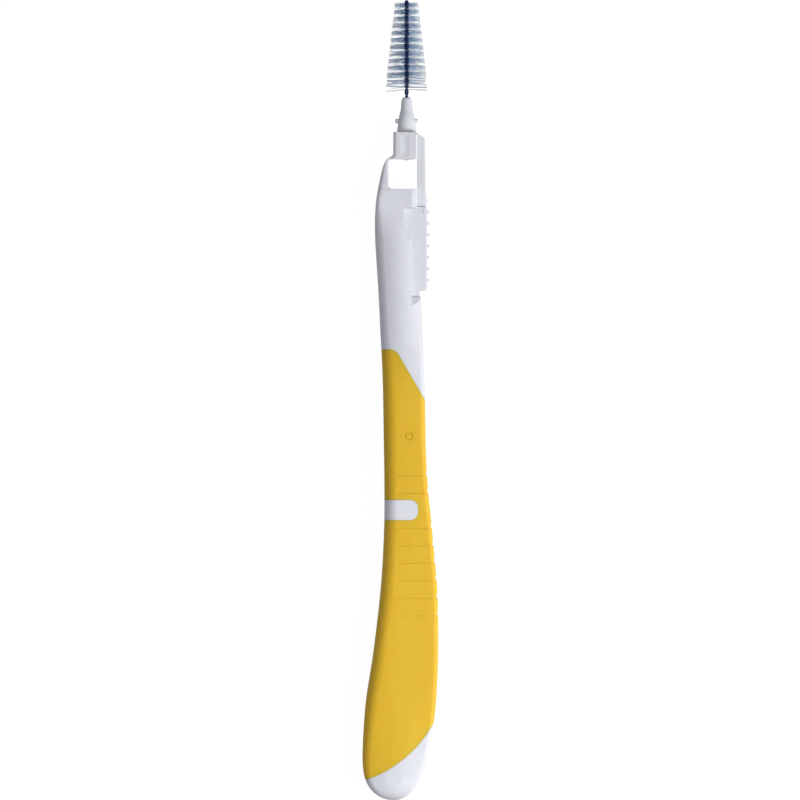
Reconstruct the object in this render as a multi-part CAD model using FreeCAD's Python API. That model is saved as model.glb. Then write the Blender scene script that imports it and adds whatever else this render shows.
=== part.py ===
import FreeCAD, Part
import math
import os

from FreeCAD import Vector

# Folding interdental brush, lying on its flank. All sizes are in millimetres.
# It is drawn with Y from the butt (0) to the wire tip, +X towards the thumb side and Z = 0 on the mid-plane.
# At the end it is moved so that the middle of its underside is the origin.

# Handle: overall sizes
handle_length = 106.9
half_width = 6.63
grip_thickness = 8.4
neck_thickness = 7.2
flank_crown = 0.02
grip_crown_angle = math.radians(1.2)
butt_crown_angle = math.radians(14)
butt_crown_share = 0.19
neck_crown_angle = math.radians(24)
block_crown_angle = math.radians(4)
back_edge_radius = 2.3
butt_edge_radius = 1.4
thumb_edge_radius = 0.8
cheek_edge_radius = 0.9
arm_back_radius = 0.9
arm_edge_radius = 0.3
least_edge_radius = 0.25
edge_limit_share = 0.46

# Handle: landmarks of the side outline, as shares of the length, drops from its top and distances sideways
butt_low_x = -1.35
butt_back_share = 0.0786
butt_end_radius = 2.4
butt_back_shares = (3.2, 1.8)
butt_thumb_shares = (2.7, 2.3)
bulge_share = 0.2914
waist_share = 0.475
waist_back = 2.8
swell_drop = 5.75
swell_back = 4.45
back_round_drop = 10.9
cheek_foot_front = 3.6
taper_margin = 4.0
block_margin = 1.4

# Handle: curves between those landmarks, as shares of the rise and of the sideways step
butt_to_waist_shares = ((0.09, 0.04), (0.24, 0.19), (0.35, 0.39), (0.49, 0.60), (0.64, 0.79), (0.79, 0.92))
waist_to_swell_shares = ((0.31, 0.10), (0.47, 0.20), (0.61, 0.42), (0.78, 0.67), (0.89, 0.92))
swell_to_top_shares = ((0.28, 0.03), (0.49, 0.14), (0.74, 0.56))
bulge_to_cheek_shares = ((0.11, 0.07), (0.22, 0.25), (0.33, 0.44), (0.41, 0.60), (0.53, 0.72),
                         (0.69, 0.77), (0.79, 0.84), (0.86, 0.90), (0.92, 0.93))
arm_outer_shares = ((0.19, 0.12), (0.33, 0.24), (0.52, 0.39), (0.69, 0.54), (0.84, 0.72), (0.95, 0.88))
butt_station_count = 6
butt_crowding_share = 3
body_station_count = 20
arm_station_count = 10
arm_crowding_share = 1.5

# Head: socket block, folded about the neck hinge
brush_axis_x = 1.085
window_height = 5.24
socket_back_reach = 2.325
socket_front_reach = 1.695
socket_thickness = 5.0
socket_back_radius = 0.7
socket_corner_radius = 0.55
socket_rim = 0.09
toe_reach = 0.53
toe_height = 0.38
toe_curve_height = 1.1
toe_bend_shares = (0.3, 0.42)
scoop_offset = 0.28
scoop_half_width = 0.75
scoop_depth = 0.1
scoop_top_margin = 0.63
scoop_foot_margin = 0.36

# Hinges: thin webs, and the clearances that the fold needs
hinge_drop = 0.17
hinge_offset = 0.19
arm_gap = 0.14
arm_tip_drop = 0.23
arm_tip_thickness = 0.53
arm_root_thickness = 1.8
arm_tip_width = 5.0
arm_root_inset = 0.1
arm_flare_radius = 0.63
neck_film_width = 5.0
neck_film_bulge = 0.34
head_film_height = 0.2
strap_film_length = 0.28
strap_film_thickness = 0.35
strap_gap = 0.14

# Strap
strap_length = 13.2
strap_thickness = 1.42
strap_lean = 0.18
strap_slant = 0.95
strap_shoulder = 0.3
strap_edge_radius = 0.3
strap_body_gap = 0.1

# Slider, flush on its flanks, with thin cheeks beside the strap's foot
slider_width = 4.6
slider_cheek = 0.22
cheek_overlap = 0.2
plate_thickness = 0.56
plate_length = 14.18
plate_end_radius = 0.5
stem_front_inset = 0.25
stem_slope_run = 0.9
stem_slope_rise = 0.1
stem_back = 1.94
stem_back_height = 4.55
foot_width = 5.5
foot_thickness = 0.6
foot_length = 9.0
tail_length = 2.0
ridge_count = 7
ridge_top_margin = 0.39
ridge_foot_margin = 1.85
ridge_height = 0.52
ridge_radius = 0.24
running_clearance = 0.15
stop_clearance = 0.04

# Slide way in the handle
channel_floor_x = -0.2
way_end_clearance = 0.3
scallop_foot = 1.05
scallop_wall = 0.08
scallop_slope_angle = math.radians(30)
scallop_top_x = 0.735
scallop_foot_x = 1.85
scallop_curve_shares = ((0.18, 0.0), (0.36, 0.53), (0.58, 0.61), (0.87, 0.74))

# Soft grip
grip_wall = 0.9
grip_rise = 1.65
grip_top_bend_x = -1.47
grip_slant_start_x = 0.105
grip_slant_drop = 7.19
grip_bend_share = 0.2
grip_foot_back = 3.4
grip_foot_middle = 6.8
grip_foot_front = 15.2
slot_height = 3.5
slot_reach_x = 3.08
slot_end_radius = 1.4
groove_count = 9
groove_slot_index = 2
groove_pitch = 3.06
groove_height = 0.9
groove_depth = 0.13
groove_lift = 0.28
groove_start_x = -0.6
mark_x = 1.42
mark_rise = 12.9
mark_radius = 0.7
mark_line = 0.22
mark_depth = 0.15

# Brush: hub, twisted wire and bristles
hub_rise = 6.07
hub_radius_shares = ((0.0, 1.0), (0.12, 0.93), (0.23, 0.88), (0.38, 0.81), (0.50, 0.73),
                     (0.64, 0.60), (0.78, 0.555), (0.92, 0.50), (0.98, 0.43))
hub_base_radius = 1.72
hub_tip_radius = 0.55
lug_rise = 1.94
lug_radius = 0.4
lug_reach = 2.0
lug_round_share = 0.6
shank_radius = 1.0
shank_fit = 0.02
nub_radius = 0.45
nub_length = 0.22
wire_length = 17.06
strand_diameter = 0.37
core_diameter = 0.26
strand_gap = 0.03
twist_lay = 2.44
tip_turn = math.radians(-20)
wire_root_margin = 1.46
wire_fit = 0.03
bristle_count = 130
bristle_diameter = 0.08
bristle_margin = 1.06
bristle_tip_margin = 0.55
bristle_root_radius = 3.8
bristle_tip_radius = 2.05

cut_overrun = 1.0

# Places that follow from the sizes
neck_top = handle_length
butt_back_height = handle_length * butt_back_share
butt_crown_height = handle_length * butt_crown_share
bulge_height = handle_length * bulge_share
waist_height = handle_length * waist_share
swell_height = neck_top - swell_drop
back_round_end_height = neck_top - back_round_drop
socket_left = brush_axis_x - socket_back_reach
socket_right = brush_axis_x + socket_front_reach
socket_bottom = neck_top + window_height
toe_left = socket_left - toe_reach
hinge_x = toe_left - hinge_offset
hinge_y = socket_bottom - hinge_drop
fold_span = socket_right + strap_gap / 2 - hinge_x
strap_pivot_x = hinge_x + fold_span
strap_pivot_y = hinge_y + fold_span
socket_top = strap_pivot_y + socket_rim
slider_travel = 2 * fold_span
arm_inner_x = hinge_x - arm_gap
arm_tip = hinge_y - arm_tip_drop
strap_left = socket_right + strap_gap
strap_foot = strap_pivot_y - strap_length
strap_width = slider_width - 2 * (slider_cheek + strap_body_gap)
slider_top = strap_foot - strap_film_length
plate_bottom = slider_top - plate_length
ridge_pitch = (plate_length - ridge_top_margin - ridge_foot_margin) / (ridge_count - 1)
scallop_bottom = plate_bottom - scallop_foot
tail_bottom = plate_bottom - tail_length
channel_bottom = tail_bottom - slider_travel - way_end_clearance
grip_top = channel_bottom + grip_rise
grip_slant_end = channel_bottom - grip_slant_drop
taper_start_height = grip_slant_end
taper_end_height = scallop_bottom - taper_margin
block_height = strap_foot + block_margin
slot_middle = waist_height
groove_top = slot_middle + groove_slot_index * groove_pitch + groove_lift
mark_height = waist_height + mark_rise
hub_top = socket_top + hub_rise
lug_height = socket_top + lug_rise
wire_root = socket_bottom + wire_root_margin
bristle_low = hub_top + bristle_margin
overall_length = hub_top + wire_length
plate_inner_x = strap_left + strap_lean + strap_thickness - strap_film_thickness - running_clearance
channel_half = slider_width / 2 + running_clearance
undercut_half = foot_width / 2 + running_clearance
foot_back_x = channel_floor_x + running_clearance
block_front = strap_left - strap_body_gap
strand_radius = strand_diameter / 2
helix_radius = strand_radius + strand_gap / 2
wire_reach = helix_radius + strand_radius
z_overrun = grip_thickness / 2 + cut_overrun
butt_flat = butt_back_height / butt_station_count ** butt_crowding_share


def smooth(points, height):
    """Value at a height on a smooth curve through (height, value) points."""
    slopes = []
    for index in range(len(points)):
        before = points[max(index - 1, 0)]
        after = points[min(index + 1, len(points) - 1)]
        slopes.append((after[1] - before[1]) / (after[0] - before[0]))
    for index in range(len(points) - 1):
        low, high = points[index], points[index + 1]
        if height <= high[0] or index == len(points) - 2:
            rise = high[0] - low[0]
            u = (height - low[0]) / rise
            start = (1 + 2 * u) * (1 - u) ** 2 * low[1] + u * (1 - u) ** 2 * rise * slopes[index]
            end = u * u * (3 - 2 * u) * high[1] + u * u * (u - 1) * rise * slopes[index + 1]
            return start + end


def stretch(low, high, shares):
    """Points from low up to high, both (height, value), with shares of the rise and of the step between."""
    rise = high[0] - low[0]
    step = high[1] - low[1]
    middle = [(low[0] + along * rise, low[1] + across * step) for along, across in shares]
    return [low] + middle + [high]


butt_back = (butt_back_height, -half_width)
waist = (waist_height, -waist_back)
swell = (swell_height, -swell_back)
neck_back_top = (neck_top, arm_inner_x - arm_root_thickness)
back_line = stretch(butt_back, waist, butt_to_waist_shares)
back_line += stretch(waist, swell, waist_to_swell_shares)[1:]
back_line += stretch(swell, neck_back_top, swell_to_top_shares)[1:]
bulge = (bulge_height, half_width)
cheek_foot = (scallop_bottom, cheek_foot_front)
thumb_line = stretch(bulge, cheek_foot, bulge_to_cheek_shares)
thumb_line += [(strap_foot, block_front), (neck_top, block_front)]


def butt_reach(height, full_height, power_shares):
    """Share of the sideways reach at a height on the rounded butt."""
    below = max(1 - height / full_height, 0)
    return (1 - below ** power_shares[0]) ** (1 / power_shares[1])


def back_x(height):
    if height < butt_back_height:
        reach = butt_reach(height, butt_back_height, butt_back_shares)
        return butt_low_x + (-half_width - butt_low_x) * reach
    return smooth(back_line, height)


def thumb_x(height):
    if height < bulge_height:
        reach = butt_reach(height, bulge_height, butt_thumb_shares)
        return butt_low_x + (half_width - butt_low_x) * reach
    return smooth(thumb_line, height)


def ease(height, low, high):
    """Smooth share from 0 at low to 1 at high."""
    u = min(max((height - low) / (high - low), 0), 1)
    return u * u * (3 - 2 * u)


def body_thickness(height):
    thinner = (grip_thickness - neck_thickness) * ease(height, taper_start_height, taper_end_height)
    full = grip_thickness + 2 * flank_crown - thinner
    if height < butt_end_radius:
        drop = butt_end_radius - height
        full -= 2 * (butt_end_radius - math.sqrt(butt_end_radius ** 2 - drop ** 2))
    return full


def rounded_section(height, left, right, thickness, back_radius, thumb_radius, crown_angle):
    """Closed section across the length: crowned flanks and its own corner radius on each side."""
    limit = min(thickness, right - left) * edge_limit_share
    back = min(back_radius, limit)
    front = min(thumb_radius, limit)
    lean = 1 - math.sin(crown_angle)
    flank_left = left + back * lean
    flank_right = right - front * lean
    half = thickness / 2
    flank_end = half - (flank_right - flank_left) / 2 * math.tan(crown_angle / 2)
    back_z = flank_end - back * math.cos(crown_angle)
    front_z = flank_end - front * math.cos(crown_angle)
    corner_turn = math.pi / 2 - crown_angle
    edges = []

    def bow(*points):
        edges.append(Part.Arc(*[Vector(x, height, z) for x, z in points]).toShape())

    def side(x, z):
        edges.append(Part.LineSegment(Vector(x, height, -z), Vector(x, height, z)).toShape())

    def corner(x, z, radius, start_angle):
        points = []
        for turn in range(3):
            angle = start_angle + turn * corner_turn / 2
            points.append((x + radius * math.cos(angle), z + radius * math.sin(angle)))
        bow(*points)

    middle = (flank_left + flank_right) / 2
    bow((flank_left, -flank_end), (middle, -half), (flank_right, -flank_end))
    corner(right - front, -front_z, front, -corner_turn)
    side(right, front_z)
    corner(right - front, front_z, front, 0)
    bow((flank_right, flank_end), (middle, half), (flank_left, flank_end))
    corner(left + back, back_z, back, math.pi - corner_turn)
    side(left, -back_z)
    corner(left + back, -back_z, back, math.pi)
    return Part.Wire(edges)


def body_section(height, inset):
    plainer = ease(height, 0, butt_crown_height)
    lower_radius = butt_edge_radius + (back_edge_radius - butt_edge_radius) * plainer
    back_small = ease(height, back_round_end_height, neck_top)
    back_radius = lower_radius + (cheek_edge_radius - lower_radius) * back_small
    front_small = ease(height, taper_start_height, taper_end_height)
    front_radius = thumb_edge_radius + (cheek_edge_radius - thumb_edge_radius) * front_small
    flatter = ease(height, back_round_end_height, block_height)
    upper_angle = neck_crown_angle + (block_crown_angle - neck_crown_angle) * flatter
    lower_angle = butt_crown_angle + (grip_crown_angle - butt_crown_angle) * plainer
    crown_angle = lower_angle + (upper_angle - lower_angle) * front_small
    return rounded_section(height, back_x(height) + inset, thumb_x(height) - inset,
                           body_thickness(height) - 2 * inset,
                           max(back_radius - inset, least_edge_radius),
                           max(front_radius - inset, least_edge_radius), crown_angle)


def body_stations(inset):
    """Heights of the sections, crowded towards the butt; a drawn-in body starts above the rounded end."""
    heights = []
    for index in range(1, butt_station_count):
        height = butt_back_height * (index / butt_station_count) ** butt_crowding_share
        if inset == 0 or height > butt_end_radius:
            heights.append(height)
    for index in range(body_station_count + 1):
        heights.append(butt_back_height + (neck_top - butt_back_height) * index / body_station_count)
    return heights


def flank_slab(inset):
    """The space between the two flat flanks."""
    half = grip_thickness / 2 - inset
    wide = half_width + cut_overrun
    return Part.makeBox(2 * wide, neck_top + 2 * cut_overrun, 2 * half, Vector(-wide, -cut_overrun, -half))


def body_envelope(inset):
    """Handle body without the arm, drawn in by the inset on every side."""
    wires = [body_section(height, inset) for height in body_stations(inset)]
    return Part.makeLoft(wires, True, False).common(flank_slab(inset))


def through_prism(points, half_depth):
    """Solid with a straight-sided outline, on both sides of the mid-plane."""
    corners = [Vector(x, y, -half_depth) for x, y in points]
    face = Part.Face(Part.makePolygon(corners + corners[:1]))
    return face.extrude(Vector(0, 0, 2 * half_depth))


def curve_prism(edges, half_depth):
    """Solid with an outline of joined edges drawn on the mid-plane."""
    face = Part.Face(Part.Wire(edges))
    face.translate(Vector(0, 0, -half_depth))
    return face.extrude(Vector(0, 0, 2 * half_depth))


def segment(start, end):
    return Part.LineSegment(Vector(*start, 0), Vector(*end, 0)).toShape()


def spline(points):
    curve = Part.BSplineCurve()
    curve.interpolate([Vector(x, y, 0) for x, y in points])
    return curve.toShape()


def arc(start, middle, end):
    return Part.Arc(Vector(*start, 0), Vector(*middle, 0), Vector(*end, 0)).toShape()


def edges_along(shape, direction, test):
    """Straight edges that run along a direction and pass a test on their middle point."""
    found = []
    for edge in shape.Edges:
        if isinstance(edge.Curve, Part.Line) and abs(edge.Curve.Direction.dot(direction)) > 0.999:
            if test(edge.CenterOfMass):
                found.append(edge)
    return found


def grip_zone():
    """Space that the soft grip takes, seen from the flank: between its slanted top and its curved foot."""
    out = half_width + cut_overrun
    bend_start = (grip_top_bend_x, grip_top)
    slant_start = (grip_slant_start_x, channel_bottom)
    front_slope = grip_slant_drop / (thumb_x(grip_slant_end) - grip_slant_start_x)
    slant_end = (out, channel_bottom - front_slope * (out - grip_slant_start_x))
    bend_x = (bend_start[0] + slant_start[0]) / 2
    bend_y = (bend_start[1] + slant_start[1]) / 2 + grip_rise * grip_bend_share
    foot_back = (-half_width, grip_foot_back)
    foot_front = (half_width, grip_foot_front)
    edges = [
        segment((-out, grip_top), bend_start),
        arc(bend_start, (bend_x, bend_y), slant_start),
        segment(slant_start, slant_end),
        segment(slant_end, (out, grip_foot_front)),
        segment((out, grip_foot_front), foot_front),
        arc(foot_front, (0, grip_foot_middle), foot_back),
        segment(foot_back, (-out, grip_foot_back)),
        segment((-out, grip_foot_back), (-out, grip_top)),
    ]
    return curve_prism(edges, z_overrun)


def slot_cutter():
    """Slot window in the grip, open at the back and rounded towards the thumb."""
    low = slot_middle - slot_height / 2
    out = half_width + cut_overrun
    box = Part.makeBox(slot_reach_x + out, slot_height, 2 * z_overrun, Vector(-out, low, -z_overrun))
    ends = edges_along(box, Vector(0, 0, 1), lambda middle: middle.x > 0)
    return box.makeFillet(slot_end_radius, ends)


def groove_cutters():
    """Finger grooves round the thumb side, with the slot window in place of one of them."""
    inner = body_envelope(groove_depth)
    cutters = []
    for index in range(groove_count):
        if index != groove_slot_index:
            low = groove_top - index * groove_pitch - groove_height / 2
            width = half_width + cut_overrun - groove_start_x
            box = Part.makeBox(width, groove_height, 2 * z_overrun, Vector(groove_start_x, low, -z_overrun))
            cutters.append(box.cut(inner))
    return cutters


def mark_cutter():
    """Round moulding mark on the upper flank: a shallow ring."""
    base = Vector(mark_x, mark_height, grip_thickness / 2 - mark_depth)
    outer = Part.makeCylinder(mark_radius, mark_depth + cut_overrun, base)
    inner = Part.makeCylinder(mark_radius - mark_line, mark_depth + cut_overrun, base)
    return outer.cut(inner)


def arm():
    """Slim arm from the top of the handle body to the neck hinge, flared at its root."""
    outer_line = stretch(neck_back_top, (arm_tip, arm_inner_x - arm_tip_thickness), arm_outer_shares)
    root_width = body_thickness(neck_top) - 2 * arm_root_inset
    wires = []
    for index in range(arm_station_count + 1):
        height = neck_top + (arm_tip - neck_top) * (index / arm_station_count) ** arm_crowding_share
        below = max(arm_flare_radius - (height - neck_top), 0)
        flare = arm_flare_radius - math.sqrt(arm_flare_radius ** 2 - below ** 2)
        width = root_width + (arm_tip_width - root_width) * ease(height, neck_top, arm_tip)
        wires.append(rounded_section(height, smooth(outer_line, height), arm_inner_x + flare, width,
                                     arm_back_radius, arm_edge_radius, grip_crown_angle))
    return Part.makeLoft(wires, True, False)


def scallop_cutter():
    """Cut-away beside the slider, with its curved back edge and a level foot."""
    start = (strap_foot, scallop_top_x)
    end = (scallop_bottom, scallop_foot_x)
    step = strap_foot - scallop_bottom
    curve = [(scallop_top_x, strap_foot)]
    for along, across in scallop_curve_shares:
        curve.append((start[1] + across * (end[1] - start[1]), strap_foot - along * step))
    curve.append((scallop_foot_x, scallop_bottom))
    out = half_width + cut_overrun
    edges = [
        spline(curve),
        segment((scallop_foot_x, scallop_bottom), (out, scallop_bottom)),
        segment((out, scallop_bottom), (out, strap_foot)),
        segment((out, strap_foot), (scallop_top_x, strap_foot)),
    ]
    cutter = curve_prism(edges, z_overrun)
    for side in (-1, 1):
        cutter = cutter.fuse(foot_slope(side))
    return cutter


def foot_slope(side):
    """Space over the slanted foot of the cut-away, on one side of the slide way."""
    start = channel_half + scallop_wall
    drop = (z_overrun - start) / math.tan(scallop_slope_angle)
    corners = [
        Vector(scallop_foot_x, scallop_bottom, side * start),
        Vector(scallop_foot_x, scallop_bottom, side * z_overrun),
        Vector(scallop_foot_x, scallop_bottom - drop, side * z_overrun),
    ]
    face = Part.Face(Part.makePolygon(corners + corners[:1]))
    return face.extrude(Vector(half_width + cut_overrun - scallop_foot_x, 0, 0))


def channel_cutter():
    """Slide way between the cheeks, with an undercut for the slider's foot."""
    out = half_width + cut_overrun
    length = strap_foot - channel_bottom
    base = Vector(channel_floor_x, channel_bottom, -channel_half)
    way = Part.makeBox(out - channel_floor_x, length, 2 * channel_half, base)
    undercut_top = plate_bottom + foot_length + running_clearance
    undercut_base = Vector(channel_floor_x, channel_bottom, -undercut_half)
    undercut = Part.makeBox(foot_thickness + 2 * running_clearance, undercut_top - channel_bottom,
                            2 * undercut_half, undercut_base)
    return way.fuse(undercut)


def handle_pieces():
    """Handle core and soft grip, cut from one envelope so that they meet flush."""
    envelope = body_envelope(0)
    zone = grip_zone().cut(slot_cutter())
    skin = envelope.common(zone).cut(body_envelope(grip_wall))
    core = envelope.cut(skin)
    core = core.fuse(arm())
    core = core.cut(scallop_cutter()).cut(channel_cutter())
    grip = skin.cut(groove_cutters()).cut(mark_cutter()).cut(channel_cutter())
    return core, grip


def neck_film_hinge():
    """Thin web that bends when the head folds: from the arm's tip to the head's lower corner."""
    outer = arm_inner_x - arm_tip_thickness
    middle = (outer + toe_left) / 2
    points = [
        (outer, arm_tip),
        (arm_inner_x, arm_tip),
        (toe_left, socket_bottom),
        (toe_left, socket_bottom + toe_height),
        (middle, (arm_tip + socket_bottom + toe_height) / 2 + neck_film_bulge / 2),
    ]
    return through_prism(points, neck_film_width / 2)


def scoop_cutters():
    """Shallow upright scoop in each flank of the socket, fading out at its foot."""
    radius = (scoop_half_width ** 2 + scoop_depth ** 2) / (2 * scoop_depth)
    x = brush_axis_x - scoop_offset
    low = socket_bottom + scoop_foot_margin + scoop_half_width
    high = socket_top - scoop_top_margin
    cutters = []
    for side in (-1, 1):
        z = side * (socket_thickness / 2 - scoop_depth + radius)
        cutters.append(Part.makeCylinder(radius, high - low, Vector(x, low, z), Vector(0, 1, 0)))
        cutters.append(Part.makeSphere(radius, Vector(x, low, z)))
    return cutters


def head_socket():
    """Block that carries the brush, with a toe that reaches the neck hinge."""
    toe_top = (toe_left, socket_bottom + toe_height)
    side_foot = (socket_left, socket_bottom + toe_curve_height)
    out_share, up_share = toe_bend_shares
    bend = (socket_left - toe_reach * out_share, socket_bottom + (toe_height + toe_curve_height) * up_share)
    corner_start = (socket_right - socket_corner_radius, socket_bottom)
    corner_end = (socket_right, socket_bottom + socket_corner_radius)
    reach = socket_corner_radius * math.cos(math.pi / 4)
    corner_middle = (corner_start[0] + reach, corner_end[1] - reach)
    edges = [
        segment((toe_left, socket_bottom), corner_start),
        arc(corner_start, corner_middle, corner_end),
        segment(corner_end, (socket_right, socket_top)),
        segment((socket_right, socket_top), (socket_left, socket_top)),
        segment((socket_left, socket_top), side_foot),
        spline([side_foot, bend, toe_top]),
        segment(toe_top, (toe_left, socket_bottom)),
    ]
    block = curve_prism(edges, socket_thickness / 2)
    up = Vector(0, 1, 0)
    back_edges = edges_along(block, up, lambda middle: abs(middle.x - socket_left) < socket_back_radius / 2)
    block = block.makeFillet(socket_back_radius, back_edges)
    for cutter in scoop_cutters():
        block = block.cut(cutter)
    bore_base = Vector(brush_axis_x, socket_bottom - cut_overrun, 0)
    bore_length = socket_top - socket_bottom + 2 * cut_overrun
    bore = Part.makeCylinder(shank_radius + shank_fit, bore_length, bore_base, up)
    return block.cut(bore)


def strap_outline():
    """Corners of the strap from its head film round to its foot."""
    top_right = (strap_left + strap_thickness - strap_shoulder / 2, strap_pivot_y - strap_slant)
    return [
        (strap_left, strap_pivot_y - socket_rim),
        top_right,
        (strap_left + strap_thickness, top_right[1] - strap_shoulder),
        (strap_left + strap_lean + strap_thickness, strap_foot),
        (strap_left, strap_foot),
    ]


def ridge(x, height, length):
    """One thumb ridge: a low bar with a round top, standing on a face at x."""
    stand = ridge_height - ridge_radius
    bar = Part.makeBox(ridge_height, 2 * ridge_radius, length, Vector(x, height - ridge_radius, -length / 2))
    round_top = Part.makeCylinder(ridge_radius, length, Vector(x + stand, height, -length / 2))
    keep = Part.makeBox(stand, 2 * ridge_radius, length, Vector(x, height - ridge_radius, -length / 2))
    return bar.common(round_top.fuse(keep))


def pull_strap():
    """Strap between the slider and the head, with the topmost thumb ridge on its foot."""
    body = through_prism(strap_outline(), strap_width / 2)
    middle_x = strap_left + strap_thickness / 2
    long_edges = edges_along(body, Vector(0, 1, 0), lambda middle: middle.x > middle_x)
    body = body.makeFillet(strap_edge_radius, long_edges)
    height = slider_top - ridge_top_margin + ridge_pitch
    lean = strap_lean * (strap_pivot_y - height) / strap_length
    overlap = ridge_radius
    bar = ridge(strap_left + lean + strap_thickness - overlap, height, strap_width - 2 * strap_edge_radius)
    return body.fuse(bar)


def strap_head_film():
    """Thin web between the head's upper corner and the strap."""
    top = strap_pivot_y - socket_rim
    points = [(socket_right, top), (strap_left, top), (strap_left, top - head_film_height),
              (socket_right, top - head_film_height)]
    return through_prism(points, strap_width / 2 - strap_edge_radius)


def strap_slider_film():
    """Thin web between the strap's foot and the slider's plate."""
    right = strap_left + strap_lean + strap_thickness
    left = right - strap_film_thickness
    points = [(left, strap_foot), (right, strap_foot), (right, slider_top), (left, slider_top)]
    return through_prism(points, strap_width / 2 - strap_edge_radius)


def stem_outline(run):
    """Corners of the stem; the run widens it at its top, at its back and over the notch there."""
    stem_top = slider_top - stem_slope_run
    notch_foot = stem_top - stem_back_height
    tail_front_x = cheek_foot_front - stem_front_inset
    return [
        (stem_back - run, stem_top + run),
        (plate_inner_x, stem_top + run),
        (plate_inner_x, plate_bottom),
        (tail_front_x, plate_bottom),
        (tail_front_x, tail_bottom),
        (foot_back_x, tail_bottom),
        (foot_back_x, notch_foot + run),
        (stem_back - run, notch_foot + run),
    ]


def slider_stem(web_half):
    """Stem in the slide way, level with the web at its rim and sloping up to its own flanks."""
    def rim(run, z):
        corners = [Vector(x, y, z) for x, y in stem_outline(run)]
        return Part.makePolygon(corners + corners[:1])

    middle = through_prism(stem_outline(stem_slope_run), web_half)
    pieces = [middle]
    for side in (-1, 1):
        rims = [rim(stem_slope_run, side * web_half), rim(0, side * slider_width / 2)]
        pieces.append(Part.makeLoft(rims, True, True))
    return pieces


def strap_cheeks(outer_x):
    """Thin walls that reach up from the slider beside the strap's foot and hide the gap there."""
    height = strap_film_length + cheek_overlap
    inner_half = slider_width / 2 - slider_cheek
    cheeks = []
    for low_z in (-slider_width / 2, inner_half):
        base = Vector(strap_left, slider_top, low_z)
        cheeks.append(Part.makeBox(outer_x - strap_left, height, slider_cheek, base))
    return cheeks


def thumb_slider():
    """Slider: ridged thumb plate, stem in the slide way, thin web and a foot in the undercut."""
    plate_outer_x = plate_inner_x + plate_thickness
    plate = Part.makeBox(plate_thickness, plate_length, slider_width,
                         Vector(plate_inner_x, plate_bottom, -slider_width / 2))
    lower = edges_along(plate, Vector(0, 0, 1),
                        lambda middle: middle.x > plate_inner_x + plate_thickness / 2
                        and middle.y < plate_bottom + plate_end_radius)
    plate = plate.makeFillet(plate_end_radius, lower)
    web_half = slider_width / 2 - stem_slope_rise
    web = Part.makeBox(plate_inner_x - foot_back_x, plate_length, 2 * web_half,
                       Vector(foot_back_x, plate_bottom, -web_half))
    stop_length = strap_film_length - stop_clearance
    stop = Part.makeBox(block_front - foot_back_x, stop_length, 2 * web_half,
                        Vector(foot_back_x, slider_top, -web_half))
    foot = Part.makeBox(foot_thickness, foot_length, foot_width,
                        Vector(foot_back_x, plate_bottom, -foot_width / 2))
    slider = plate.fuse([web, stop, foot] + slider_stem(web_half) + strap_cheeks(plate_outer_x))
    for index in range(ridge_count):
        height = slider_top - ridge_top_margin - index * ridge_pitch
        slider = slider.fuse(ridge(plate_outer_x, height, slider_width - 2 * ridge_radius))
    return slider


def brush_hub():
    """Cone on top of the socket, with two side lugs and a shank through the socket."""
    up = Vector(0, 1, 0)
    rise = hub_top - socket_top
    points = [(hub_base_radius * share, socket_top + along * rise) for along, share in hub_radius_shares]
    points.append((hub_tip_radius, hub_top))
    profile = [Vector(brush_axis_x, socket_top, 0)]
    profile += [Vector(brush_axis_x + x, y, 0) for x, y in points]
    profile.append(Vector(brush_axis_x, hub_top, 0))
    face = Part.Face(Part.makePolygon(profile + profile[:1]))
    cone = face.revolve(Vector(brush_axis_x, 0, 0), up, 360)
    shank_foot = Vector(brush_axis_x, socket_bottom, 0)
    shank = Part.makeCylinder(shank_radius, socket_top - socket_bottom, shank_foot, up)
    nub = Part.makeCone(nub_radius / 2, nub_radius, nub_length,
                        Vector(brush_axis_x, socket_bottom - nub_length, 0), up)
    hub = cone.fuse([shank, nub])
    for side in (-1, 1):
        lug_root = Vector(brush_axis_x, lug_height, 0)
        peg = Part.makeCylinder(lug_radius, lug_reach, lug_root, Vector(side, 0, 0))
        rims = [edge for edge in peg.Edges if side * (edge.CenterOfMass.x - brush_axis_x) > lug_reach / 2]
        rims = [edge for edge in rims if isinstance(edge.Curve, Part.Circle)]
        peg = peg.makeFillet(lug_radius * lug_round_share, rims)
        hub = hub.fuse(peg)
    bore = Part.makeCylinder(wire_reach + wire_fit, hub_top - wire_root + cut_overrun,
                             Vector(brush_axis_x, wire_root, 0), up)
    return hub.cut(bore)


def biarc(start, start_way, end, end_way):
    """Two arcs that join two points smoothly in space."""
    chord = end - start
    both = start_way + end_way
    a = 2 * (start_way.dot(end_way) - 1)
    b = -2 * chord.dot(both)
    c = chord.dot(chord)
    reach = -c / b if abs(a) < 1e-9 else (-b - math.sqrt(b * b - 4 * a * c)) / (2 * a)
    first = start + start_way * reach
    second = end - end_way * reach
    joint = (first + second) * 0.5
    edges = []
    for p0, bend, p1 in ((start, first, joint), (joint, second, end)):
        weight = (p1 - p0).Length / (2 * reach)
        middle = (p0 + bend * (2 * weight) + p1) * (1 / (2 + 2 * weight))
        edges.append(Part.Arc(p0, middle, p1).toShape())
    return edges


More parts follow.
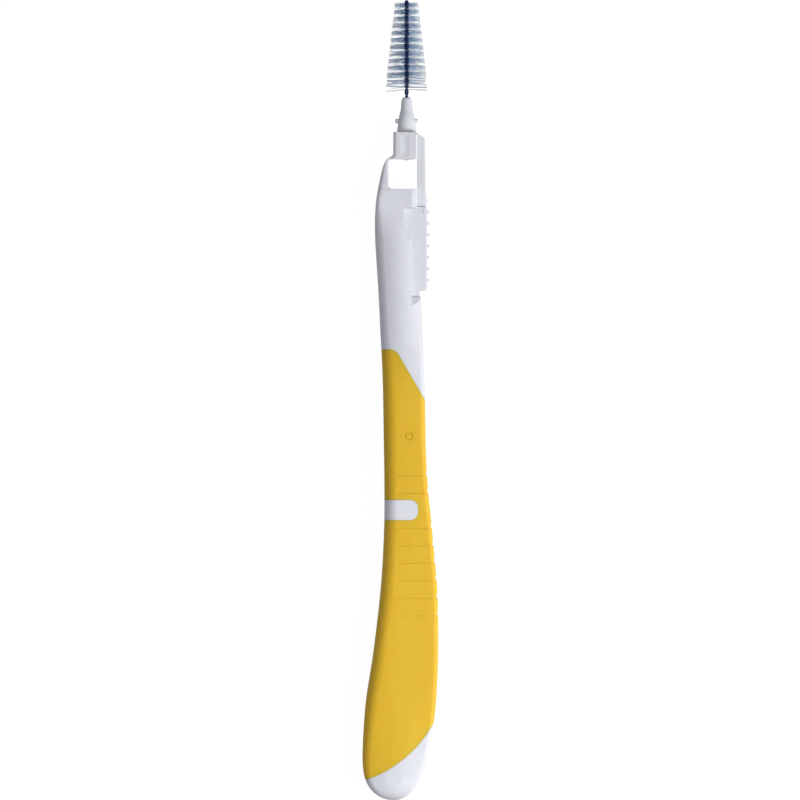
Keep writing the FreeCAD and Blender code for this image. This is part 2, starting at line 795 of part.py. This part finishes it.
def strand_path():
    """One wire: up one strand of the twist, over the tip and down the other strand."""
    loop_top = overall_length - strand_radius
    twist_top = loop_top - helix_radius
    quarter_count = math.ceil((twist_top - wire_root) / (twist_lay / 4))
    step = (twist_top - wire_root) / quarter_count
    turn = 2 * math.pi * step / twist_lay
    slant = helix_radius * turn / step
    up_stations = []
    down_stations = []
    for index in range(quarter_count + 1):
        angle = math.pi + tip_turn + turn * (index - quarter_count)
        y = wire_root + step * index
        out = Vector(math.cos(angle), 0, math.sin(angle))
        way = Vector(-math.sin(angle) * slant, 1, math.cos(angle) * slant).normalize()
        back = Vector(way.x, -way.y, way.z)
        axis_point = Vector(brush_axis_x, y, 0)
        up_stations.append((axis_point + out * helix_radius, way))
        down_stations.insert(0, (axis_point - out * helix_radius, back))
    tip = (Vector(brush_axis_x, loop_top, 0), Vector(math.cos(tip_turn), 0, math.sin(tip_turn)))
    stations = up_stations + [tip] + down_stations
    edges = []
    for low, high in zip(stations, stations[1:]):
        edges += biarc(low[0], low[1], high[0], high[1])
    return Part.Wire(edges), stations[0]


def wire_pieces():
    """Steel core and its coating, swept along the same path."""
    path, (start, way) = strand_path()
    outer = Part.Wire(Part.Circle(start, way, strand_radius).toShape())
    inner = Part.Wire(Part.Circle(start, way, core_diameter / 2).toShape())
    core = path.makePipeShell([inner], True, False)
    full = path.makePipeShell([outer], True, False)
    return core, full.cut(core)


def bristles():
    """Filaments held between the strands, turning with the twist and longer towards the hub."""
    high = overall_length - bristle_tip_margin
    loop_top = overall_length - strand_radius - helix_radius
    pieces = []
    for index in range(bristle_count):
        share = (index + 0.5) / bristle_count
        y = bristle_low + share * (high - bristle_low - strand_diameter)
        angle = tip_turn + 2 * math.pi * (y - loop_top) / twist_lay + math.pi / 2
        way = Vector(math.cos(angle), 0, math.sin(angle))
        reach = bristle_root_radius + (bristle_tip_radius - bristle_root_radius) * share
        start = Vector(brush_axis_x, y, 0) - way * reach
        pieces.append(Part.makeCylinder(bristle_diameter / 2, 2 * reach, start, way))
    return Part.makeCompound(pieces)


def main():
    os.makedirs("parts", exist_ok=True)
    core, grip = handle_pieces()
    wire_core, wire_coating = wire_pieces()
    pieces = {
        "handle_core": core,
        "grip_overmould": grip,
        "neck_film_hinge": neck_film_hinge(),
        "head_socket": head_socket(),
        "brush_hub": brush_hub(),
        "wire_core": wire_core,
        "wire_coating": wire_coating,
        "bristles": bristles(),
        "pull_strap": pull_strap(),
        "strap_head_film": strap_head_film(),
        "strap_slider_film": strap_slider_film(),
        "thumb_slider": thumb_slider(),
    }
    middle_y = (overall_length + butt_flat) / 2
    to_origin = Vector(0, -middle_y, grip_thickness / 2)
    for name, shape in pieces.items():
        shape.translate(to_origin)
        shape.exportStep(f"parts/{name}.step")
        print(name, shape.isValid(), len(shape.Solids), round(shape.Volume, 3))
    print("neck hinge", round(hinge_x, 3), round(hinge_y - middle_y, 3))
    print("strap pivot", round(strap_pivot_x, 3), round(strap_pivot_y - middle_y, 3))
    print("slider travel", round(slider_travel, 3))


main()
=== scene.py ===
"""Looks of the folding interdental brush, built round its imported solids. Metres, in the part's own frame."""
import math
import random

import bpy
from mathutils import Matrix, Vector


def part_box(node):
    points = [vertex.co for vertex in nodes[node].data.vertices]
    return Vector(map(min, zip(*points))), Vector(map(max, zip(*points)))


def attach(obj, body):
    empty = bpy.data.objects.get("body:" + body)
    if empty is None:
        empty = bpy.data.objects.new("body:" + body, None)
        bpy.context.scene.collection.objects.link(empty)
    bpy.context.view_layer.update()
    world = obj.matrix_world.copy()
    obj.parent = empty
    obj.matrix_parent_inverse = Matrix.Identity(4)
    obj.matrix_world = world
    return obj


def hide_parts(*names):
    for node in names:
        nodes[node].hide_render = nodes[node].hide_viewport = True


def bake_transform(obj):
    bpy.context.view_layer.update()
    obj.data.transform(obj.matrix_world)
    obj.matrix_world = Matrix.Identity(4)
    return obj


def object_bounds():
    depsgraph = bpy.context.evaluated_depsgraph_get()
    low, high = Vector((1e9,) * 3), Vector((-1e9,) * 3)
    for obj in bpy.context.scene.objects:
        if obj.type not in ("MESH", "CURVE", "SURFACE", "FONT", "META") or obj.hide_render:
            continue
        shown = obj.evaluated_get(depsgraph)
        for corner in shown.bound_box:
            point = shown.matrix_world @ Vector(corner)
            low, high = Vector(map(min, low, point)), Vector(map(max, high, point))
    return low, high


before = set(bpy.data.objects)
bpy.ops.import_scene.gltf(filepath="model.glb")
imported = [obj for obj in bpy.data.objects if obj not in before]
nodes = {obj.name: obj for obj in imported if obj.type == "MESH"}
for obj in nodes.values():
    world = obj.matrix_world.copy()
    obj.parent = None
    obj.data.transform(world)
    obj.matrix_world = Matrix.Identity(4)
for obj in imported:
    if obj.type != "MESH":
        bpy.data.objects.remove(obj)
cad_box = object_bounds()
MM = 0.001

# Places taken from the solids
hub_low, hub_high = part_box("brush_hub")
socket_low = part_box("head_socket")[0]
neck_film_low, neck_film_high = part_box("neck_film_hinge")
strap_film_low, strap_film_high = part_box("strap_head_film")
WIRE_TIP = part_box("wire_coating")[1].y
HUB_TOP = hub_high.y
BRUSH_X = (hub_low.x + hub_high.x) / 2
MID_Z = (hub_low.z + hub_high.z) / 2
MID_Y = (cad_box[0][1] + cad_box[1][1]) / 2

# Twist of the two strands, up to the loop at the tip
TWIST_LAY = 2.44 * MM
TIP_LOOP = 0.385 * MM
TWIST_TOP = WIRE_TIP - TIP_LOOP
TIP_TURN = math.radians(-20)

# One filament, and its reach from the tip down to the hub
FILAMENT_RADIUS = 0.027 * MM
FILAMENT_STEPS = 4
FILAMENT_TAPER = 0.35
REACH_AT_TIP = 2.05 * MM
REACH_AT_HUB = 3.8 * MM
REACH_TIP_MARGIN = 0.55 * MM
REACH_TOP = WIRE_TIP - REACH_TIP_MARGIN
REACH_LENGTH = 15.45 * MM

# Dense filaments: their stretch of wire, how far they draw together in tufts, and how much they vary
DICE_SEED = 7
PACK_HUB_MARGIN = 3.66 * MM
PACK_TIP_MARGIN = 0.5 * MM
PACK_LOW = HUB_TOP + PACK_HUB_MARGIN
PACK_HIGH = WIRE_TIP - PACK_TIP_MARGIN
PACK_COUNT = 620
PACK_REACH_SHARES = (0.97, 1.01)
PACK_RISE_SPREAD = 0.15 * MM
PACK_DROOP = -0.05 * MM
PACK_DROOP_SPREAD = 0.08 * MM
TUFT_PULL = 0.39
TUFT_FAN = 0.88
TURN_SPREAD = 0.10

# Thin fill between the dense filaments and the hub
THIN_HUB_MARGIN = 1.7 * MM
THIN_LOW = HUB_TOP + THIN_HUB_MARGIN
THIN_COUNT = 44
THIN_REACH_SHARES = (0.90, 1.0)
THIN_RISE_SPREAD = 0.10 * MM

# Sparse tufts near the hub: height over the hub, filaments on each side, spread of their directions,
# and how far the tips on the right and on the left rise
STRAY_TUFTS = (
    (3.50 * MM, 14, 0.35, -0.18 * MM, 0.00 * MM),
    (2.95 * MM, 12, 0.35, -0.08 * MM, 0.02 * MM),
    (2.60 * MM, 12, 0.30, -0.38 * MM, -0.34 * MM),
    (1.75 * MM, 14, 0.20, 0.04 * MM, 0.26 * MM),
    (1.42 * MM, 5, 0.06, -0.20 * MM, -0.36 * MM),
)
STRAY_REACH_SHARES = (0.94, 1.0)
STRAY_ROOT_SPREAD = 0.03 * MM
STRAY_RISE_SPREAD = 0.06 * MM
STRAY_DROOP_SPREAD = 0.06 * MM

# Bending webs; the neck web's steps sideways and along start at a corner of the arm or of the toe
ARM_TIP_THICKNESS = 0.53 * MM
NECK_FILM_BEND = (0.28 * MM, 0.62 * MM)
NECK_FILM_STEPS = 10
STRAP_FILM_HEIGHT = 0.14 * MM
STRAP_FILM_STEPS = 8

# Dark and light shade of each material, and stops along a length or a reach
WHITE_SHADES = ((0.79, 0.802, 0.855), (0.82, 0.832, 0.885))
HUB_SHADES = ((0.92, 0.94, 0.98), (0.95, 0.97, 1.0))
# Painted light: the hub's colour is lighter towards the foot of its cone and darker towards its tip
HUB_FOOT_PAINTED_LIGHT = ((0.45, (1.0, 1.0, 1.0)), (0.72, (0.84, 0.85, 0.88)))
GRIP_SHADES = ((0.865, 0.537, 0.026), (0.91, 0.58, 0.035))
COATING_SHADES = ((0.003, 0.014, 0.060), (0.011, 0.042, 0.150))
STEEL_SHADES = ((0.50, 0.51, 0.53), (0.66, 0.67, 0.69))
SPECKLE_SHADES = ((0.70, 0.74, 0.80), (1.0, 1.0, 1.0))
NYLON_TONES = (
    (0.06, (0.03, 0.08, 0.22)),
    (0.13, (0.46, 0.71, 1.0)),
    (0.45, (0.67, 0.83, 1.0)),
    (0.9, (0.71, 0.79, 0.88)),
)

# Where the dark shade ends and the light one starts, on a noise from 0 to 1
EVEN_STOPS = (0.3, 0.7)
SCUFF_STOPS = (0.35, 0.75)

# Lowest and highest roughness of each material
WHITE_GLOSS = (0.45, 0.57)
HUB_GLOSS = (0.43, 0.55)
GRIP_GLOSS = (0.50, 0.64)
COATING_GLOSS = (0.26, 0.40)
STEEL_GLOSS = (0.28, 0.42)
NYLON_GLOSS = (0.30, 0.45)

# Depths of the shading: rounded edges, uneven faces, grain, and how far light goes in
WHITE_EDGE = 0.1 * MM
HUB_EDGE = 0.04 * MM
GRIP_EDGE = 0.08 * MM
EDGE_SAMPLES = 6
WAVE_DEPTH = 0.4 * MM
WHITE_GRAIN_DEPTH = 0.04 * MM
GRIP_GRAIN_DEPTH = 0.05 * MM
COATING_GRAIN_DEPTH = 0.03 * MM
WHITE_LIGHT_DEPTH = 0.9 * MM
GRIP_LIGHT_DEPTH = 1.4 * MM
WHITE_CLEARNESS = 0.12
HUB_CLEARNESS = 0.5

# Floor, light and camera
FLOOR_HALF = 3.0
FLOOR_DROP = 0.2 * MM
FLOOR_UNSEEN = (0.42, 0.42, 0.43)
FLOOR_SEEN = (0.95, 0.95, 0.95)
FLOOR_GLOW = 1.06
FLOOR_GLOW_SHARE = 0.92
WORLD_COLOUR = (0.95, 0.945, 1.0)
WORLD_STRENGTH = 0.32
KEY_PLACE = (0.178, -0.06, 0.18)
KEY_TARGET = (0.0, -0.06, 0.0)
KEY_SIZE = (0.14, 0.20)
KEY_POWER = 0.61
KEY_COLOUR = (1.0, 1.0, 0.99)
FRAME_WIDTH = 0.140
CAMERA_SHIFT = (-0.07 * MM, -0.0187 * MM)
LENS = 600.0
SENSOR_WIDTH = 36.0
CLIP_RANGE = (0.01, 20.0)


# Materials


class Shader:
    """A Principled material and short calls that add nodes to it."""

    def __init__(self, name):
        self.material = bpy.data.materials.new(name)
        self.material.use_nodes = True
        self.tree = self.material.node_tree
        self.shader = self.tree.nodes["Principled BSDF"]
        self.coords = self.add("ShaderNodeTexCoord").outputs["Object"]

    def add(self, kind, **values):
        node = self.tree.nodes.new(kind)
        for key, value in values.items():
            setattr(node, key, value)
        return node

    def link(self, source, target):
        self.tree.links.new(source, target)

    def noise(self, scale, detail=2.0, roughness=0.5, stretch=None):
        node = self.add("ShaderNodeTexNoise")
        node.inputs["Scale"].default_value = scale
        node.inputs["Detail"].default_value = detail
        node.inputs["Roughness"].default_value = roughness
        source = self.coords
        if stretch:
            mapping = self.add("ShaderNodeMapping")
            mapping.inputs["Scale"].default_value = stretch
            self.link(self.coords, mapping.inputs["Vector"])
            source = mapping.outputs["Vector"]
        self.link(source, node.inputs["Vector"])
        return node.outputs["Fac"]

    def ramp(self, value, stops):
        node = self.add("ShaderNodeValToRGB")
        elements = node.color_ramp.elements
        for index, (position, colour) in enumerate(stops):
            element = elements[index] if index < 2 else elements.new(position)
            element.position = position
            element.color = (*colour, 1.0)
        self.link(value, node.inputs["Fac"])
        return node.outputs["Color"]

    def range(self, value, low, high):
        node = self.add("ShaderNodeMapRange")
        node.inputs["To Min"].default_value = low
        node.inputs["To Max"].default_value = high
        self.link(value, node.inputs["Value"])
        return node.outputs["Result"]

    def bump(self, height, strength, distance, under=None):
        node = self.add("ShaderNodeBump")
        node.inputs["Strength"].default_value = strength
        node.inputs["Distance"].default_value = distance
        self.link(height, node.inputs["Height"])
        if under:
            self.link(under, node.inputs["Normal"])
        return node.outputs["Normal"]

    def multiply(self, first, second):
        node = self.add("ShaderNodeMix", data_type="RGBA", blend_type="MULTIPLY")
        node.inputs["Factor"].default_value = 1.0
        self.link(first, node.inputs["A"])
        self.link(second, node.inputs["B"])
        return node.outputs["Result"]

    def share_along(self):
        """Share of the node's own length, from its foot to its tip."""
        node = self.add("ShaderNodeSeparateXYZ")
        self.link(self.add("ShaderNodeTexCoord").outputs["Generated"], node.inputs["Vector"])
        return node.outputs["Y"]

    def distance_from_axis(self):
        """Distance from the axis of the wire."""
        offset = self.add("ShaderNodeVectorMath", operation="SUBTRACT")
        offset.inputs[1].default_value = (BRUSH_X, 0.0, MID_Z)
        self.link(self.coords, offset.inputs[0])
        across = self.add("ShaderNodeVectorMath", operation="MULTIPLY")
        across.inputs[1].default_value = (1.0, 0.0, 1.0)
        self.link(offset.outputs["Vector"], across.inputs[0])
        length = self.add("ShaderNodeVectorMath", operation="LENGTH")
        self.link(across.outputs["Vector"], length.inputs[0])
        return length.outputs["Value"]

    def rounded(self, radius):
        """Normal that rounds the sharp edges a little."""
        node = self.add("ShaderNodeBevel", samples=EDGE_SAMPLES)
        node.inputs["Radius"].default_value = radius
        return node.outputs["Normal"]

    def put(self, socket, source):
        self.link(source, self.shader.inputs[socket])

    def set(self, socket, value):
        self.shader.inputs[socket].default_value = value


def moulded_white(name, shades, gloss, edge, clearness, painted_light=None):
    """Satin moulded plastic: faint clouding, uneven gloss, a fine spark-eroded grain and, when given, painted
    light along its length.
    """
    look = Shader(name)
    cloud = look.noise(scale=220.0, detail=3.0, roughness=0.55)
    tone = look.ramp(cloud, zip(EVEN_STOPS, shades))
    # Painted light: an optional ramp along the node's length, lighter at its foot
    if painted_light:
        tone = look.multiply(tone, look.ramp(look.share_along(), painted_light))
    look.put("Base Color", tone)
    look.put("Roughness", look.range(look.noise(scale=900.0), *gloss))
    unevenness = look.noise(scale=140.0, detail=1.0)
    wave = look.bump(unevenness, strength=0.05, distance=WAVE_DEPTH, under=look.rounded(edge))
    grain = look.noise(scale=9000.0, roughness=0.6)
    look.put("Normal", look.bump(grain, strength=0.10, distance=WHITE_GRAIN_DEPTH, under=wave))
    look.set("IOR", 1.49)
    look.set("Specular IOR Level", 0.35)
    look.set("Subsurface Weight", clearness)
    look.set("Subsurface Radius", (1.0, 0.95, 0.9))
    look.set("Subsurface Scale", WHITE_LIGHT_DEPTH)
    return look.material


def soft_grip():
    """Matte elastomer skin: fine grain, faint streaks along the flow and a soft sheen."""
    look = Shader("grip_elastomer_look")
    streak = look.noise(scale=160.0, detail=3.0, stretch=(1.0, 0.25, 1.0))
    look.put("Base Color", look.ramp(streak, zip(EVEN_STOPS, GRIP_SHADES)))
    look.put("Roughness", look.range(look.noise(scale=1200.0), *GRIP_GLOSS))
    unevenness = look.noise(scale=120.0, detail=1.0)
    wave = look.bump(unevenness, strength=0.05, distance=WAVE_DEPTH, under=look.rounded(GRIP_EDGE))
    grain = look.noise(scale=7000.0, detail=3.0, roughness=0.6)
    look.put("Normal", look.bump(grain, strength=0.16, distance=GRIP_GRAIN_DEPTH, under=wave))
    look.set("IOR", 1.47)
    look.set("Specular IOR Level", 0.35)
    look.set("Subsurface Weight", 0.6)
    look.set("Subsurface Radius", (1.0, 0.32, 0.1))
    look.set("Subsurface Scale", GRIP_LIGHT_DEPTH)
    look.set("Sheen Weight", 0.05)
    look.set("Sheen Roughness", 0.5)
    return look.material


def wire_skin():
    """Dark glossy coating on the twisted wire, with a few scuffs."""
    look = Shader("wire_coating_look")
    scuff = look.noise(scale=2600.0, detail=3.0, roughness=0.6)
    look.put("Base Color", look.ramp(scuff, zip(SCUFF_STOPS, COATING_SHADES)))
    look.put("Roughness", look.range(look.noise(scale=4000.0), *COATING_GLOSS))
    grain = look.noise(scale=6000.0)
    look.put("Normal", look.bump(grain, strength=0.08, distance=COATING_GRAIN_DEPTH))
    look.set("IOR", 1.45)
    look.set("Specular IOR Level", 0.35)
    return look.material


def drawn_steel():
    """Steel wire with fine drawing lines."""
    look = Shader("wire_steel_look")
    lines = look.noise(scale=5000.0, stretch=(1.0, 0.05, 1.0))
    look.put("Base Color", look.ramp(lines, zip(EVEN_STOPS, STEEL_SHADES)))
    look.put("Roughness", look.range(lines, *STEEL_GLOSS))
    look.set("Metallic", 1.0)
    return look.material


def nylon():
    """Fine smoky filaments: dark blue where the wire grips them, paler and greyer towards the tips."""
    look = Shader("bristle_nylon_look")
    along = look.add("ShaderNodeMapRange")
    along.inputs["From Max"].default_value = REACH_AT_HUB
    look.link(look.distance_from_axis(), along.inputs["Value"])
    tone = look.ramp(along.outputs["Result"], NYLON_TONES)
    speckle = look.ramp(look.noise(scale=2400.0, roughness=0.6), zip(EVEN_STOPS, SPECKLE_SHADES))
    look.put("Base Color", look.multiply(tone, speckle))
    look.put("Roughness", look.range(look.noise(scale=3000.0, detail=1.0), *NYLON_GLOSS))
    look.set("IOR", 1.53)
    look.set("Transmission Weight", 0.35)
    return look.material


white = moulded_white("white_plastic_look", WHITE_SHADES, WHITE_GLOSS, WHITE_EDGE, WHITE_CLEARNESS)
hub_white = moulded_white("hub_plastic_look", HUB_SHADES, HUB_GLOSS, HUB_EDGE, HUB_CLEARNESS, HUB_FOOT_PAINTED_LIGHT)
yellow = soft_grip()
coating = wire_skin()
steel = drawn_steel()
bristle_look = nylon()

looks = {
    "handle_core": white,
    "grip_overmould": yellow,
    "neck_film_hinge": white,
    "head_socket": white,
    "brush_hub": hub_white,
    "wire_core": steel,
    "wire_coating": coating,
    "bristles": bristle_look,
    "pull_strap": white,
    "strap_head_film": white,
    "strap_slider_film": white,
    "thumb_slider": white,
}

for name, look in looks.items():
    mesh = nodes[name].data
    mesh.materials.clear()
    mesh.materials.append(look)


# Pieces made here


def new_piece(name, vertices, faces, look, smooth):
    mesh = bpy.data.meshes.new(name)
    mesh.from_pydata([tuple(v) for v in vertices], [], faces)
    mesh.validate()
    mesh.update()
    mesh.materials.append(look)
    for polygon in mesh.polygons:
        polygon.use_smooth = smooth
    piece = bpy.data.objects.new(name, mesh)
    bpy.context.scene.collection.objects.link(piece)
    return piece


def twist_angle(height):
    """Direction in which the strands hold a filament at a height."""
    return TIP_TURN + math.pi / 2 + 2 * math.pi * (height - TWIST_TOP) / TWIST_LAY


def bristle_reach(height):
    """Reach of a filament: longer towards the hub."""
    return REACH_AT_TIP + (REACH_AT_HUB - REACH_AT_TIP) * (REACH_TOP - height) / REACH_LENGTH


def filament(vertices, faces, root, angle, reach, rise, droop):
    """One thin filament from the wire's axis outwards: it rises evenly and droops towards its tip."""
    out = Vector((math.cos(angle), 0.0, math.sin(angle)))
    across = Vector((-out.z, 0.0, out.x))
    up = Vector((0.0, 1.0, 0.0))
    sides = (across, up, -across, -up)
    count = len(sides)
    start = Vector((BRUSH_X, root, MID_Z))
    first = len(vertices)
    for step in range(FILAMENT_STEPS + 1):
        u = step / FILAMENT_STEPS
        centre = start + out * (reach * u) + up * (rise * u + droop * u * u)
        radius = FILAMENT_RADIUS * (1.0 - FILAMENT_TAPER * u)
        for side in sides:
            vertices.append(centre + side * radius)
    for step in range(FILAMENT_STEPS):
        for corner in range(count):
            a = first + step * count + corner
            b = first + step * count + (corner + 1) % count
            faces.append((a, b, b + count, a + count))
    faces.append(tuple(first + corner for corner in reversed(range(count))))
    faces.append(tuple(first + FILAMENT_STEPS * count + corner for corner in range(count)))


def dense_filaments(dice, vertices, faces):
    """Filaments pinched between the two strands: they turn with the twist and draw together in tufts."""
    for index in range(PACK_COUNT):
        root = PACK_LOW + (index + 0.5) / PACK_COUNT * (PACK_HIGH - PACK_LOW)
        even = twist_angle(root)
        turn = even - TUFT_PULL * math.sin(2 * even)
        for side in (0.0, math.pi):
            angle = turn + side + dice.gauss(0.0, TURN_SPREAD)
            fan = abs(math.cos(angle))
            reach = bristle_reach(root) * dice.uniform(*PACK_REACH_SHARES) / (fan if fan > TUFT_FAN else 1.0)
            rise = dice.gauss(0.0, PACK_RISE_SPREAD)
            droop = dice.gauss(PACK_DROOP, PACK_DROOP_SPREAD)
            filament(vertices, faces, root, angle, reach, rise, droop)


def thin_filaments(dice, vertices, faces):
    """Few filaments below the dense ones, which turn evenly with the twist."""
    for index in range(THIN_COUNT):
        root = THIN_LOW + (index + 0.5) / THIN_COUNT * (PACK_LOW - THIN_LOW)
        turn = twist_angle(root)
        for side in (0.0, math.pi):
            angle = turn + side + dice.gauss(0.0, TURN_SPREAD)
            reach = bristle_reach(root) * dice.uniform(*THIN_REACH_SHARES)
            filament(vertices, faces, root, angle, reach, dice.gauss(0.0, THIN_RISE_SPREAD), 0.0)


def stray_filaments(dice, vertices, faces):
    """Sparse tufts near the hub, to the right and to the left."""
    for over_hub, number, spread, right_rise, left_rise in STRAY_TUFTS:
        height = HUB_TOP + over_hub
        for _ in range(number):
            for side, tip_rise in ((0.0, right_rise), (math.pi, left_rise)):
                angle = side + dice.gauss(0.0, spread)
                reach = bristle_reach(height) * dice.uniform(*STRAY_REACH_SHARES)
                root = height + dice.gauss(0.0, STRAY_ROOT_SPREAD)
                rise = tip_rise + dice.gauss(0.0, STRAY_RISE_SPREAD)
                filament(vertices, faces, root, angle, reach, rise, dice.gauss(0.0, STRAY_DROOP_SPREAD))


def bristle_pack():
    """All filaments as one piece, which rides on the head in place of the solid ones."""
    dice = random.Random(DICE_SEED)
    vertices = []
    faces = []
    for stretch in (dense_filaments, thin_filaments, stray_filaments):
        stretch(dice, vertices, faces)
    piece = new_piece("bristle_filaments", vertices, faces, bristle_look, True)
    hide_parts("bristles")
    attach(piece, "head")


def film(name, inner, outer, node):
    """Thin bending web between two bodies: inner and outer are its two side lines, point by point."""
    low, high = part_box(node)
    vertices = []
    faces = []
    count = len(inner)
    for depth in (low.z, high.z):
        for points in (inner, outer):
            for x, y in points:
                vertices.append((x, y, depth))

    def at(depth, side, step):
        return depth * 2 * count + side * count + step

    for step in range(count - 1):
        for side in (0, 1):
            faces.append((at(0, side, step), at(0, side, step + 1), at(1, side, step + 1), at(1, side, step)))
        for depth in (0, 1):
            faces.append((at(depth, 0, step), at(depth, 1, step),
                          at(depth, 1, step + 1), at(depth, 0, step + 1)))
    for step in (0, count - 1):
        faces.append((at(0, 0, step), at(0, 1, step), at(1, 1, step), at(1, 0, step)))
    piece = new_piece(name, vertices, faces, white, False)
    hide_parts(node)
    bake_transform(piece)


def curve(start, bend, end, steps):
    """Points on a quadratic curve from start to end, drawn towards the bend."""
    found = []
    for step in range(steps + 1):
        u = step / steps
        weights = ((1 - u) ** 2, 2 * u * (1 - u), u * u)
        found.append(tuple(sum(w * p[axis] for w, p in zip(weights, (start, bend, end))) for axis in (0, 1)))
    return found


def line(start, end, steps):
    """Even points on a straight line."""
    middle = ((start[0] + end[0]) / 2, (start[1] + end[1]) / 2)
    return curve(start, middle, end, steps)


def moved(point, step):
    return (point[0] + step[0], point[1] + step[1])


def neck_film():
    """Web from the arm's tip to the toe of the socket."""
    arm_outer = (neck_film_low.x, neck_film_low.y)
    arm_inner = (neck_film_low.x + ARM_TIP_THICKNESS, neck_film_low.y)
    toe_low = (neck_film_high.x, socket_low.y)
    toe_top = (neck_film_high.x, neck_film_high.y)
    inner = line(arm_inner, toe_low, NECK_FILM_STEPS)
    outer = curve(arm_outer, moved(arm_outer, NECK_FILM_BEND), toe_top, NECK_FILM_STEPS)
    film("neck_film", inner, outer, "neck_film_hinge")


def strap_film():
    """Web from the upper corner of the socket to the strap."""
    left, right = strap_film_low.x, strap_film_high.x
    top = strap_film_high.y
    foot = top - STRAP_FILM_HEIGHT
    lower = line((left, foot), (right, foot), STRAP_FILM_STEPS)
    upper = line((left, top), (right, top), STRAP_FILM_STEPS)
    film("strap_film", lower, upper, "strap_head_film")


bristle_pack()
neck_film()
strap_film()


# Floor, light and camera


def floor_material():
    """Pale floor that shows white to the eye and keeps a faint shadow."""
    material = bpy.data.materials.new("floor_look")
    material.use_nodes = True
    tree = material.node_tree
    tree.nodes.clear()
    output = tree.nodes.new("ShaderNodeOutputMaterial")
    unseen = tree.nodes.new("ShaderNodeBsdfDiffuse")
    unseen.inputs["Color"].default_value = (*FLOOR_UNSEEN, 1.0)
    pale = tree.nodes.new("ShaderNodeBsdfDiffuse")
    pale.inputs["Color"].default_value = (*FLOOR_SEEN, 1.0)
    glow = tree.nodes.new("ShaderNodeEmission")
    glow.inputs["Color"].default_value = (1.0, 1.0, 1.0, 1.0)
    glow.inputs["Strength"].default_value = FLOOR_GLOW
    seen = tree.nodes.new("ShaderNodeMixShader")
    seen.inputs["Fac"].default_value = FLOOR_GLOW_SHARE
    path = tree.nodes.new("ShaderNodeLightPath")
    direct = tree.nodes.new("ShaderNodeMath")
    direct.operation = "MAXIMUM"
    either = tree.nodes.new("ShaderNodeMath")
    either.operation = "MAXIMUM"
    pick = tree.nodes.new("ShaderNodeMixShader")
    tree.links.new(path.outputs["Is Camera Ray"], direct.inputs[0])
    tree.links.new(path.outputs["Is Glossy Ray"], direct.inputs[1])
    tree.links.new(direct.outputs["Value"], either.inputs[0])
    tree.links.new(path.outputs["Is Transmission Ray"], either.inputs[1])
    tree.links.new(pale.outputs["BSDF"], seen.inputs[1])
    tree.links.new(glow.outputs["Emission"], seen.inputs[2])
    tree.links.new(either.outputs["Value"], pick.inputs["Fac"])
    tree.links.new(unseen.outputs["BSDF"], pick.inputs[1])
    tree.links.new(seen.outputs["Shader"], pick.inputs[2])
    tree.links.new(pick.outputs["Shader"], output.inputs["Surface"])
    return material


def floor():
    corners = [(x * FLOOR_HALF, y * FLOOR_HALF, -FLOOR_DROP) for x, y in ((-1, -1), (1, -1), (1, 1), (-1, 1))]
    mesh = bpy.data.meshes.new("floor")
    mesh.from_pydata(corners, [], [(0, 1, 2, 3)])
    mesh.materials.append(floor_material())
    piece = bpy.data.objects.new("floor", mesh)
    bpy.context.scene.collection.objects.link(piece)


def studio_world():
    world = bpy.data.worlds.new("studio")
    bpy.context.scene.world = world
    world.use_nodes = True
    background = world.node_tree.nodes["Background"]
    background.inputs["Color"].default_value = (*WORLD_COLOUR, 1.0)
    background.inputs["Strength"].default_value = WORLD_STRENGTH


def key_lamp():
    """Soft rectangular lamp on the thumb side, which looks at the lower end of the grip."""
    lamp = bpy.data.lights.new("key", "AREA")
    lamp.shape = "RECTANGLE"
    lamp.size, lamp.size_y = KEY_SIZE
    lamp.energy = KEY_POWER
    lamp.color = KEY_COLOUR
    holder = bpy.data.objects.new("key", lamp)
    holder.location = KEY_PLACE
    way = Vector(KEY_TARGET) - Vector(KEY_PLACE)
    holder.rotation_euler = way.to_track_quat("-Z", "Y").to_euler()
    bpy.context.scene.collection.objects.link(holder)


def top_camera():
    """Long lens straight above the brush, so far up that the frame is FRAME_WIDTH wide at mid-depth."""
    data = bpy.data.cameras.new("camera")
    data.sensor_fit = "HORIZONTAL"
    data.sensor_width = SENSOR_WIDTH
    data.lens = LENS
    data.clip_start, data.clip_end = CLIP_RANGE
    camera = bpy.data.objects.new("camera", data)
    distance = FRAME_WIDTH * LENS / SENSOR_WIDTH
    camera.location = (CAMERA_SHIFT[0], MID_Y + CAMERA_SHIFT[1], MID_Z + distance)
    bpy.context.scene.collection.objects.link(camera)
    bpy.context.scene.camera = camera


floor()
studio_world()
key_lamp()
top_camera()

bpy.context.scene.view_settings.view_transform = "Standard"

bpy.context.view_layer.update()
